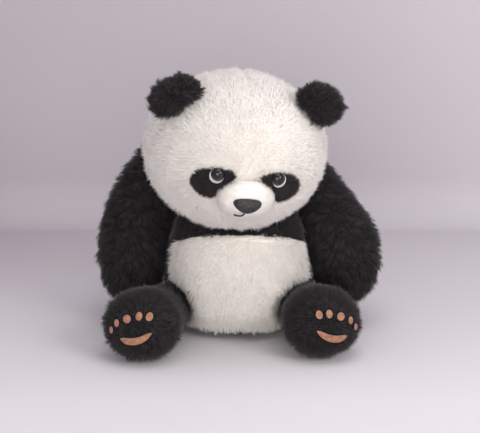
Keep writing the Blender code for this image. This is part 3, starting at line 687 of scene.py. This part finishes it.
class PANDA_OT_torso(bpy.types.Operator):
    """The body's stuffed skin, drawn in along its seams"""

    bl_idname = "panda.torso"
    bl_label = "Body"

    def execute(self, context):
        piece = remeshed("torso_skin", TORSO_PANELS + ("body_stuffing",), BODY_VOXEL, 6)
        points = coordinates(piece)
        trees = [node_tree(node) for node in TORSO_PANELS]
        near = np.stack([distances([tree], points) for tree in trees], 1)
        ranked = np.sort(near, 1)
        seam = np.clip(1.0 - (ranked[:, 1] - ranked[:, 0]) / SEAM_WIDTH, 0.0, 1.0)
        seam = seam * (ranked[:, 0] < 0.004)
        swell(piece, BODY_SWELL, pinned=seam)
        points = coordinates(piece) - vertex_normals(piece) * (SEAM_DRAW * seam ** 2)[:, None]
        move_to(piece, points)
        sink(piece, BODY_DEPTH)
        set_attribute(piece.data, "white", near.argmin(1) == 0)
        dress(piece, cloth_material("torso"), "torso")
        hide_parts(*TORSO_PANELS, "body_stuffing")
        return {"FINISHED"}


class PANDA_OT_limbs(bpy.types.Operator):
    """The stuffed skins of arms and legs"""

    bl_idname = "panda.limbs"
    bl_label = "Arms and legs"

    def execute(self, context):
        for side in SIDES:
            for limb, depth in (("arm", ARM_DEPTH), ("leg", LEG_DEPTH)):
                name = f"{side}_{limb}"
                piece = remeshed(name + "_skin", (name + "_cover", name + "_stuffing"), LIMB_VOXEL, 6)
                swell(piece, SOFT_SWELL)
                sink(piece, depth)
                dress(piece, cloth_material("black"), name)
                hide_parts(name + "_cover", name + "_stuffing")
        return {"FINISHED"}


class PANDA_OT_ears(bpy.types.Operator):
    """Two-leaved ears with their pile"""

    bl_idname = "panda.ears"
    bl_label = "Ears"

    def execute(self, context):
        pile = context.scene.panda_pile
        for side in SIDES:
            name = side + "_ear"
            piece = remeshed(name + "_skin", (name + "_front", name + "_back"), 0.0016, 4)
            sink(piece, EAR_DEPTH)
            dress(piece, cloth_material("black"), name)
            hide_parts(name + "_front", name + "_back")
            roots = Roots(piece, TUFTS["ear"], 31, room_on(name, ("head",)))
            centre = coordinates(piece).mean(0)
            head = coordinates(skin("head")).mean(0)
            out = unit(centre - head)
            fur = grow_pile(name + "_pile", roots, pile.ear,
                            lambda points, normals: unit(points - centre) + out * 0.9,
                            lean=(0.40, 0.80), clump=(16, 0.62), scatter=0.7)
            dress(fur, pile_material("black"), name, smooth=False)
        return {"FINISHED"}


class PANDA_OT_tail(bpy.types.Operator):
    """A round tail on the back"""

    bl_idname = "panda.tail"
    bl_label = "Tail"

    def execute(self, context):
        piece = remeshed("tail_skin", ("tail",), 0.0018, 6)
        sink(piece, 0.002)
        dress(piece, cloth_material("white"), "torso")
        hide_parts("tail")
        fur = grow_pile("tail_pile", Roots(piece, TUFTS["tail"], 41), context.scene.panda_pile.belly,
                        away_from(coordinates(piece).mean(0) - np.array([0.0, 0.01, 0.0]), 0.6))
        dress(fur, pile_material("white"), "torso", smooth=False)
        return {"FINISHED"}


# ---------------- long pile


class PANDA_OT_head_pile(bpy.types.Operator):
    """White pile on the head, in three panels"""

    bl_idname = "panda.head_pile"
    bl_label = "Head pile"

    def execute(self, context):
        pile = context.scene.panda_pile
        face = ["left_eye_patch", "right_eye_patch", "muzzle_cover"]
        muzzle = distances([node_tree("muzzle_cover")], coordinates(skin("head")), FAR)
        near = np.minimum(room_on("head", ("torso",)), 0.0022 + 0.8 * muzzle)
        roots = Roots(skin("head"), TUFTS["head"], 11, near).clear_of([node_tree(node) for node in face])
        nose = np.array(node_middle("nose"))
        eyes = [np.array(node_middle(side + "_eye")) for side in SIDES]
        roots.part_along(sum(eyes) / 2, eyes[1] - eyes[0], CROWN_SEAM)
        comb = over_edges([node_tree(node) for node in face[:2]], away_from(nose, 0.35), BROW)
        crown = coordinates(skin("head")).mean(0)
        backward = roots.points[:, 1] - crown[1]
        sections = {"face": backward < -CROWN_HALF,
                    "crown": (backward >= -CROWN_HALF) & (backward < CROWN_HALF),
                    "nape": backward >= CROWN_HALF}
        for name, mask in sections.items():
            fur = grow_pile(name + "_pile", roots.only(mask), pile.head, comb, lean=(0.30, 0.80),
                            clump=(8, 0.30), scatter=0.85)
            dress(fur, pile_material("white"), "head", smooth=False)
        return {"FINISHED"}


class PANDA_OT_body_pile(bpy.types.Operator):
    """Pile on the belly, yoke, back and seat"""

    bl_idname = "panda.body_pile"
    bl_label = "Body pile"

    def execute(self, context):
        pile = context.scene.panda_pile
        limbs = [f"{side}_{limb}" for side in SIDES for limb in ("arm", "leg")]
        roots = Roots(skin("torso"), TUFTS["torso"], 12, room_on("torso", ["head"] + limbs))
        near = np.stack([distances([node_tree(node)], roots.points) for node in TORSO_PANELS], 1)
        nearest = near.argmin(1)
        for index, node in enumerate(TORSO_PANELS):
            mask = (nearest == index) & (roots.room > LEAST_ROOM)
            shade, reach, levels = "black", pile.back, 2
            panel = roots.only(mask)
            if node == "belly_panel":
                shade, reach = "white", pile.belly
                panel.part_along(node_middle(node), (1.0, 0.0, 0.0), BELLY_SEAM)
            elif node == "seat_panel":
                reach, levels = pile.back * 0.6, 1
            fur = grow_pile(node.replace("_panel", "") + "_pile", panel, reach, downwards,
                            lean=(0.35, 0.85), scatter=0.7, levels=levels)
            dress(fur, pile_material(shade), "torso", smooth=False)
        return {"FINISHED"}


class PANDA_OT_limb_pile(bpy.types.Operator):
    """Black pile on arms and legs"""

    bl_idname = "panda.limb_pile"
    bl_label = "Arm and leg pile"

    def execute(self, context):
        pile = context.scene.panda_pile
        for side in SIDES:
            arm, leg = side + "_arm", side + "_leg"
            roots = Roots(skin(arm), TUFTS["arm"], 13, room_on(arm, ("torso", "head", leg)))
            fur = grow_pile(arm + "_pile", roots.only(roots.room > LEAST_ROOM), pile.arm, downwards,
                            lean=(0.40, 0.90), clump=(20, 0.5), scatter=0.65)
            dress(fur, pile_material("black"), arm, smooth=False)

            pads = [node_tree(f"{side}_foot_{pad}") for pad in PADS]
            room = np.minimum(room_on(leg, ("torso", arm)),
                              0.0010 + 0.9 * distances(pads, coordinates(skin(leg)), 0.02))
            roots = Roots(skin(leg), TUFTS["leg"], 14, room).clear_of(pads)
            sole = sum((np.array(node_middle(f"{side}_foot_{pad}")) for pad in PADS)) / len(PADS)
            fur = grow_pile(leg + "_pile", roots.only(roots.room > 0.0008), pile.leg,
                            away_from(sole - np.array([0.0, 0.004, 0.0]), 0.2), lean=(0.25, 0.75),
                            clump=(14, 0.45), scatter=0.8)
            dress(fur, pile_material("black"), leg, smooth=False)
        return {"FINISHED"}


# ---------------- face


def part_frame(node, behind):
    """A frame on a moulded face part: Z out of the face, X to the right, and how far its top is."""
    middle = node_middle(node)
    out = (middle - node_middle(behind)).normalized()
    right = Vector((1.0, 0.0, 0.0))
    right = (right - out * right.dot(out)).normalized()
    above = out.cross(right)
    top = max((Vector(point) - middle).dot(out) for point in coordinates(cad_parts[node]))
    turn = Matrix((right, above, out)).transposed().to_4x4()
    return Matrix.Translation(middle) @ turn, top


@stored
def eye_material():
    """A dark polished dome with a brown ring, with painted light that makes the ring paler below."""
    colours = bpy.context.scene.panda_colours
    k = Nodes("eye")
    ring = k.attribute("ring")
    inside = k.spread(ring, 0.42, 0.58)
    rim = k.spread(ring, 0.80, 0.95)
    # Painted light: the ring is brightened towards the bottom, where light falling through a clear dome
    # would gather, and darkened at the top.
    low = k.spread(k.attribute("low"), -0.1, 0.8, 0.25, 1.9)
    fibres = k.spread(k.noise(900.0, 2.0), 0.3, 0.7, 0.8, 1.2)
    share = k.add("ShaderNodeMath", {0: low, 1: fibres}, operation="MULTIPLY").outputs[0]
    body = k.mix(inside, colours.pupil[:], k.shaded(colours.iris[:], share))
    return k.finish(Base_Color=k.mix(rim, body, colours.pupil[:]), Roughness=0.35,
                    Specular_IOR_Level=0.12, Coat_Weight=0.7, Coat_Roughness=0.02)


@stored
def crescent_material():
    """Pale lilac felt."""
    colours = bpy.context.scene.panda_colours
    k = Nodes("eye backing")
    drift = k.spread(k.noise(700.0), 0.3, 0.7, 0.8, 1.1)
    k.bump(k.noise(2500.0), 0.3, 0.0003)
    return k.finish(Base_Color=k.shaded(colours.crescent[:], drift), Roughness=0.7)


@stored
def nose_material():
    """Moulded plastic with a leather grain and painted highlights, brighter where the grain stands up.
    """
    colours = bpy.context.scene.panda_colours
    k = Nodes("nose")
    cells = k.add("ShaderNodeTexVoronoi", {"Vector": k.place(), "Scale": 620.0}).outputs["Distance"]
    grain = k.add("ShaderNodeMath", {0: cells, 1: k.noise(420.0, 4.0)}, operation="ADD").outputs[0]
    k.bump(grain, 0.9, 0.0007)
    # Painted highlight: the colour is brightened up to 2.6 times where the grain stands up.
    drift = k.mix(k.spread(grain, 0.6, 1.2), colours.nose[:], tuple(c * 2.6 for c in colours.nose))
    return k.finish(Base_Color=drift, Roughness=k.spread(k.noise(500.0), 0.3, 0.7, 0.24, 0.42),
                    Specular_IOR_Level=0.45)


@stored
def thread_material():
    """Thick dark thread with a twist."""
    colours = bpy.context.scene.panda_colours
    k = Nodes("thread")
    ply = k.add("ShaderNodeTexWave", {"Vector": k.place(), "Scale": 420.0, "Distortion": 1.0},
                bands_direction="DIAGONAL").outputs["Fac"]
    k.bump(ply, 0.6, 0.0003)
    return k.finish(Base_Color=k.mix(ply, colours.thread[:], tuple(c * 2.0 for c in colours.thread)),
                    Roughness=0.75)


@stored
def velour_material():
    """Short dense pile of the muzzle."""
    colours = bpy.context.scene.panda_colours
    k = Nodes("short pile")
    drift = k.spread(k.noise(90.0), 0.3, 0.7, 0.94, 1.03)
    grain = k.spread(k.noise(1500.0, 1.0), 0.3, 0.7, 0.92, 1.05)
    both = k.add("ShaderNodeMath", {0: drift, 1: grain}, operation="MULTIPLY").outputs[0]
    k.bump(k.noise(1800.0, 1.0), 0.35, 0.0004)
    return k.finish(Base_Color=k.shaded(colours.muzzle[:], both), Roughness=0.85, Sheen_Weight=0.3,
                    Sheen_Roughness=0.4)


class PANDA_OT_patches(bpy.types.Operator):
    """Black patches round the eyes, in short pile"""

    bl_idname = "panda.patches"
    bl_label = "Eye patches"

    def execute(self, context):
        pile = context.scene.panda_pile
        for side in SIDES:
            node = side + "_eye_patch"
            piece = remeshed(node + "_skin", (node,), 0.0009, 3)
            dress(piece, cloth_material("black"), "head")
            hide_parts(node)
            eye = [node_tree(side + "_eye"), node_tree(side + "_eye_rim")]
            roots = Roots(piece, TUFTS["patch"], 21)
            facing = roots.normals[:, 1] < 0.25
            roots = roots.only(facing).clear_of(eye)
            nose = np.array(node_middle("nose"))
            fur = grow_pile(node + "_pile", roots, pile.patch, away_from(nose, 0.2), lean=(0.6, 1.0),
                            clump=(8, 0.35), scatter=0.9, radius=0.75, levels=1)
            dress(fur, pile_material("black"), "head", smooth=False)
        return {"FINISHED"}


class PANDA_OT_muzzle(bpy.types.Operator):
    """The stuffed muzzle in short pile"""

    bl_idname = "panda.muzzle"
    bl_label = "Muzzle"

    def execute(self, context):
        piece = remeshed("muzzle_skin", ("muzzle_cover", "muzzle_stuffing"), 0.0013, 12)
        sink(piece, 0.0012)
        dress(piece, velour_material(), "head")
        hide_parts("muzzle_cover", "muzzle_stuffing")
        roots = Roots(piece, TUFTS["muzzle"], 22).clear_of([node_tree("nose")])
        roots = roots.only(roots.normals[:, 1] < 0.3)
        nose = np.array(node_middle("nose"))
        fur = grow_pile("muzzle_pile", roots, context.scene.panda_pile.muzzle, away_from(nose, 0.3),
                        lean=(0.6, 1.0), clump=(5, 0.2), scatter=0.9, radius=0.55, levels=1)
        dress(fur, velour_material(), "head", smooth=False)
        return {"FINISHED"}


class PANDA_OT_eyes(bpy.types.Operator):
    """Domed eyes on their pale backing discs"""

    bl_idname = "panda.eyes"
    bl_label = "Eyes"

    def execute(self, context):
        for side in SIDES:
            place, top = part_frame(side + "_eye", side + "_eye_washer")
            ball = (EYE_RADIUS ** 2 + EYE_HEIGHT ** 2) / (2 * EYE_HEIGHT)
            bpy.ops.object.select_all(action="DESELECT")
            bpy.ops.mesh.primitive_uv_sphere_add(segments=64, ring_count=48, radius=ball)
            piece = context.active_object
            piece.name = piece.data.name = side + "_eye_dome"
            bpy.ops.object.mode_set(mode="EDIT")
            bpy.ops.mesh.select_all(action="SELECT")
            bpy.ops.mesh.bisect(plane_co=(0, 0, ball - EYE_HEIGHT), plane_no=(0, 0, 1), use_fill=True,
                                clear_inner=True)
            bpy.ops.object.mode_set(mode="OBJECT")
            finish_with(piece, "BEVEL", width=0.0004, segments=3, limit_method="ANGLE")
            flat = coordinates(piece)
            set_attribute(piece.data, "ring", np.hypot(flat[:, 0], flat[:, 1]) / EYE_RADIUS)
            # How far below the middle each point is, for the painted light on the lower ring.
            set_attribute(piece.data, "low", -flat[:, 1] / EYE_RADIUS)
            piece.data.transform(place @ Matrix.Translation((0, 0, top - ball)))
            dress(piece, eye_material(), "head")
            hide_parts(side + "_eye")

            bpy.ops.object.select_all(action="DESELECT")
            bpy.ops.mesh.primitive_cylinder_add(vertices=72, radius=CRESCENT_RADIUS, depth=0.0012)
            disc = context.active_object
            disc.name = disc.data.name = side + "_eye_crescent"
            finish_with(disc, "BEVEL", width=0.0003, segments=3, limit_method="ANGLE")
            outward = CRESCENT_SHIFT[0] if side == "right" else -CRESCENT_SHIFT[0]
            out = place.to_3x3() @ Vector((0, 0, 1))
            depth = (node_middle(side + "_eye_rim") - place.translation).dot(out)
            disc.data.transform(place @ Matrix.Translation((outward, CRESCENT_SHIFT[1], depth)))
            dress(disc, crescent_material(), "head")
            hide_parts(side + "_eye_rim")
        return {"FINISHED"}


class PANDA_OT_nose(bpy.types.Operator):
    """Moulded nose and sewn mouth"""

    bl_idname = "panda.nose"
    bl_label = "Nose and mouth"

    def execute(self, context):
        nose = remeshed("nose_moulding", ("nose",), 0.0005, 8)
        dress(nose, nose_material(), "head")
        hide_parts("nose")
        mouth = remeshed("mouth_thread", ("mouth_stitch",), 0.00025, 2)
        dress(mouth, thread_material(), "head")
        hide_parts("mouth_stitch")
        return {"FINISHED"}


# ---------------- foot pads


@stored
def suede_material():
    """Mottled imitation suede with pale thread at its edge."""
    colours = bpy.context.scene.panda_colours
    k = Nodes("suede")
    worn = k.spread(k.noise(260.0, 4.0, 0.6), 0.42, 0.62)
    body = k.mix(worn, colours.suede[:], colours.suede_worn[:])
    fine = k.spread(k.noise(1600.0, 2.0), 0.3, 0.7, 0.85, 1.12)
    body = k.shaded(body, fine)
    edge = k.spread(k.attribute("edge"), 0.30, 0.55)
    k.bump(k.noise(1900.0, 2.0), 0.4, 0.0003)
    return k.finish(Base_Color=k.mix(edge, body, colours.pad_edge[:]), Roughness=0.82, Sheen_Weight=0.2)


class PANDA_OT_pads(bpy.types.Operator):
    """Toe pads and heel pads"""

    bl_idname = "panda.pads"
    bl_label = "Foot pads"

    def execute(self, context):
        for side in SIDES:
            for pad in PADS:
                node = f"{side}_foot_{pad}"
                piece = remeshed(node + "_suede", (node,), 0.0004, 4)
                normals = vertex_normals(piece)
                facing = unit(normals[normals[:, 1] < 0.0].mean(0))
                set_attribute(piece.data, "edge", 1.0 - normals @ facing)
                dress(piece, suede_material(), side + "_leg")
                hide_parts(node)
        return {"FINISHED"}


# ---------------- inner parts


@stored
def fibre_material():
    """White fibre filling."""
    k = Nodes("fibre filling")
    drift = k.mix(k.noise(120.0, 6.0), (0.70, 0.70, 0.67), (0.92, 0.92, 0.90))
    k.bump(k.noise(700.0, 6.0), 0.6, 0.001)
    return k.finish(Base_Color=drift, Roughness=0.95)


@stored
def bag_material():
    """Plain woven inner bag."""
    k = Nodes("pellet bag cloth")
    weave = k.add("ShaderNodeTexWave", {"Vector": k.place(), "Scale": 300.0}).outputs["Fac"]
    k.bump(weave, 0.4, 0.0005)
    return k.finish(Base_Color=k.mix(weave, (0.56, 0.55, 0.52), (0.72, 0.71, 0.68)), Roughness=0.9)


@stored
def washer_material():
    """Natural moulded plastic."""
    k = Nodes("washer plastic")
    k.bump(k.noise(1200.0), 0.2, 0.0002)
    drift = k.mix(k.noise(300.0), (0.70, 0.70, 0.67), (0.82, 0.82, 0.79))
    return k.finish(Base_Color=drift, Roughness=0.45)


class PANDA_OT_inner(bpy.types.Operator):
    """Finishes of the parts inside"""

    bl_idname = "panda.inner"
    bl_label = "Inner parts"

    def execute(self, context):
        finishes = {"neck_plug": fibre_material(), "pellet_bag": bag_material(),
                    "left_eye_washer": washer_material(), "right_eye_washer": washer_material(),
                    "nose_washer": washer_material()}
        for node, material in finishes.items():
            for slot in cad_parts[node].material_slots:
                slot.link = "OBJECT"
                slot.material = material
        return {"FINISHED"}


# ---------------- stage


@stored
def ground_material():
    """Pale matt paper, not seen from behind, with painted shade: darker towards the backdrop, and darker
    at the left than at the right.
    """
    colours = bpy.context.scene.panda_stage
    k = Nodes("backdrop")
    drift = k.spread(k.noise(3.0), 0.3, 0.7, 0.985, 1.015)
    place = k.add("ShaderNodeSeparateXYZ", {"Vector": k.place()}).outputs
    # Painted shade: from the darker left to the lighter right, then from the shaded back to the pale
    # ground in front.
    across = k.spread(place["X"], -0.35, 0.35)
    shaded_rear = k.mix(across, colours.backdrop[:], colours.backdrop_right[:])
    body = k.mix(k.spread(place["Y"], 0.47, -0.20), shaded_rear, colours.ground[:])
    behind = k.add("ShaderNodeNewGeometry").outputs["Backfacing"]
    clear = k.add("ShaderNodeBsdfTransparent").outputs[0]
    seen = k.add("ShaderNodeMixShader", {0: behind, 1: k.shader.outputs[0], 2: clear}).outputs[0]
    k.tree.links.new(seen, k.tree.nodes["Material Output"].inputs["Surface"])
    return k.finish(Base_Color=k.shaded(body, drift), Roughness=0.9)


def soft_light(name, place, aim, size, watts, tint):
    """A square soft light."""
    lamp = bpy.data.lights.new(name, "AREA")
    lamp.shape = "SQUARE"
    lamp.size = size
    lamp.energy = watts
    lamp.color = tint
    light = bpy.data.objects.new(name, lamp)
    light.location = place
    light.rotation_euler = (Vector(aim) - Vector(place)).to_track_quat("-Z", "Y").to_euler()
    bpy.context.scene.collection.objects.link(light)


class PANDA_OT_stage(bpy.types.Operator):
    """Floor, backdrop, lights and camera"""

    bl_idname = "panda.stage"
    bl_label = "Stage"

    def execute(self, context):
        scene = context.scene
        settings = scene.panda_stage
        bpy.ops.object.select_all(action="DESELECT")
        bpy.ops.mesh.primitive_plane_add(size=6.0, location=(0.0, BACKDROP_Y - 3.0, 0.0))
        floor = context.active_object
        floor.name = "floor"
        bpy.ops.object.mode_set(mode="EDIT")
        shape = bmesh.from_edit_mesh(floor.data)
        for edge in shape.edges:
            edge.select = all(v.co.y > 1.0 for v in edge.verts)
        shape.select_flush_mode()
        bmesh.update_edit_mesh(floor.data)
        bpy.ops.mesh.extrude_region_move(TRANSFORM_OT_translate={"value": (0.0, 0.0, 3.0)})
        bpy.ops.object.mode_set(mode="OBJECT")
        finish_with(floor, "BEVEL", width=0.06, segments=12, limit_method="ANGLE")
        bpy.ops.object.transform_apply(location=True, rotation=True, scale=True)
        floor.data.materials.append(ground_material())

        world = scene.world or bpy.data.worlds.new("studio")
        scene.world = world
        world.use_nodes = True
        background = world.node_tree.nodes.get("Background")
        background.inputs["Color"].default_value = WORLD_TINT
        background.inputs["Strength"].default_value = WORLD_LIGHT
        for light in LIGHTS:
            soft_light(*light)

        camera = bpy.data.cameras.new("camera")
        camera.lens = settings.lens
        camera.sensor_width = 36.0
        camera.shift_x, camera.shift_y = CAMERA_SHIFT
        viewer = bpy.data.objects.new("camera", camera)
        aim = Vector(CAMERA_AIM)
        away = Vector((0.0, -math.cos(settings.elevation), math.sin(settings.elevation)))
        viewer.location = aim + away * settings.distance
        viewer.rotation_euler = (math.pi / 2 - settings.elevation, 0.0, 0.0)
        scene.collection.objects.link(viewer)
        scene.camera = viewer
        scene.view_settings.view_transform = "Standard"
        return {"FINISHED"}


class PANDA_PT_panel(bpy.types.Panel):
    """Lists the panda's pieces in the 3D view's sidebar."""

    bl_label = "Plush Panda"
    bl_idname = "PANDA_PT_panel"
    bl_space_type = "VIEW_3D"
    bl_region_type = "UI"
    bl_category = "Plush Panda"

    def draw(self, context):
        for operator in STEPS:
            self.layout.operator(operator.bl_idname)
        for group in (context.scene.panda_pile, context.scene.panda_colours, context.scene.panda_stage):
            box = self.layout.box()
            for name in group.__annotations__:
                box.prop(group, name)


STEPS = (PANDA_OT_stage, PANDA_OT_head, PANDA_OT_torso, PANDA_OT_limbs, PANDA_OT_ears, PANDA_OT_tail,
         PANDA_OT_patches, PANDA_OT_muzzle, PANDA_OT_eyes, PANDA_OT_nose, PANDA_OT_pads,
         PANDA_OT_head_pile, PANDA_OT_body_pile, PANDA_OT_limb_pile, PANDA_OT_inner)
GROUPS = {"panda_pile": PandaPile, "panda_colours": PandaColours, "panda_stage": PandaStage}


def register():
    """Register the settings, the operators and the panel."""
    for name, group in GROUPS.items():
        bpy.utils.register_class(group)
        setattr(bpy.types.Scene, name, PointerProperty(type=group))
    for item in (*STEPS, PANDA_PT_panel):
        bpy.utils.register_class(item)


def unregister():
    """Take away what register added."""
    for item in (PANDA_PT_panel, *reversed(STEPS)):
        bpy.utils.unregister_class(item)
    for name, group in GROUPS.items():
        delattr(bpy.types.Scene, name)
        bpy.utils.unregister_class(group)


def main():
    """Build every piece in order."""
    register()
    for step in STEPS:
        module, name = step.bl_idname.split(".")
        getattr(getattr(bpy.ops, module), name)()


if __name__ == "__main__":
    main()
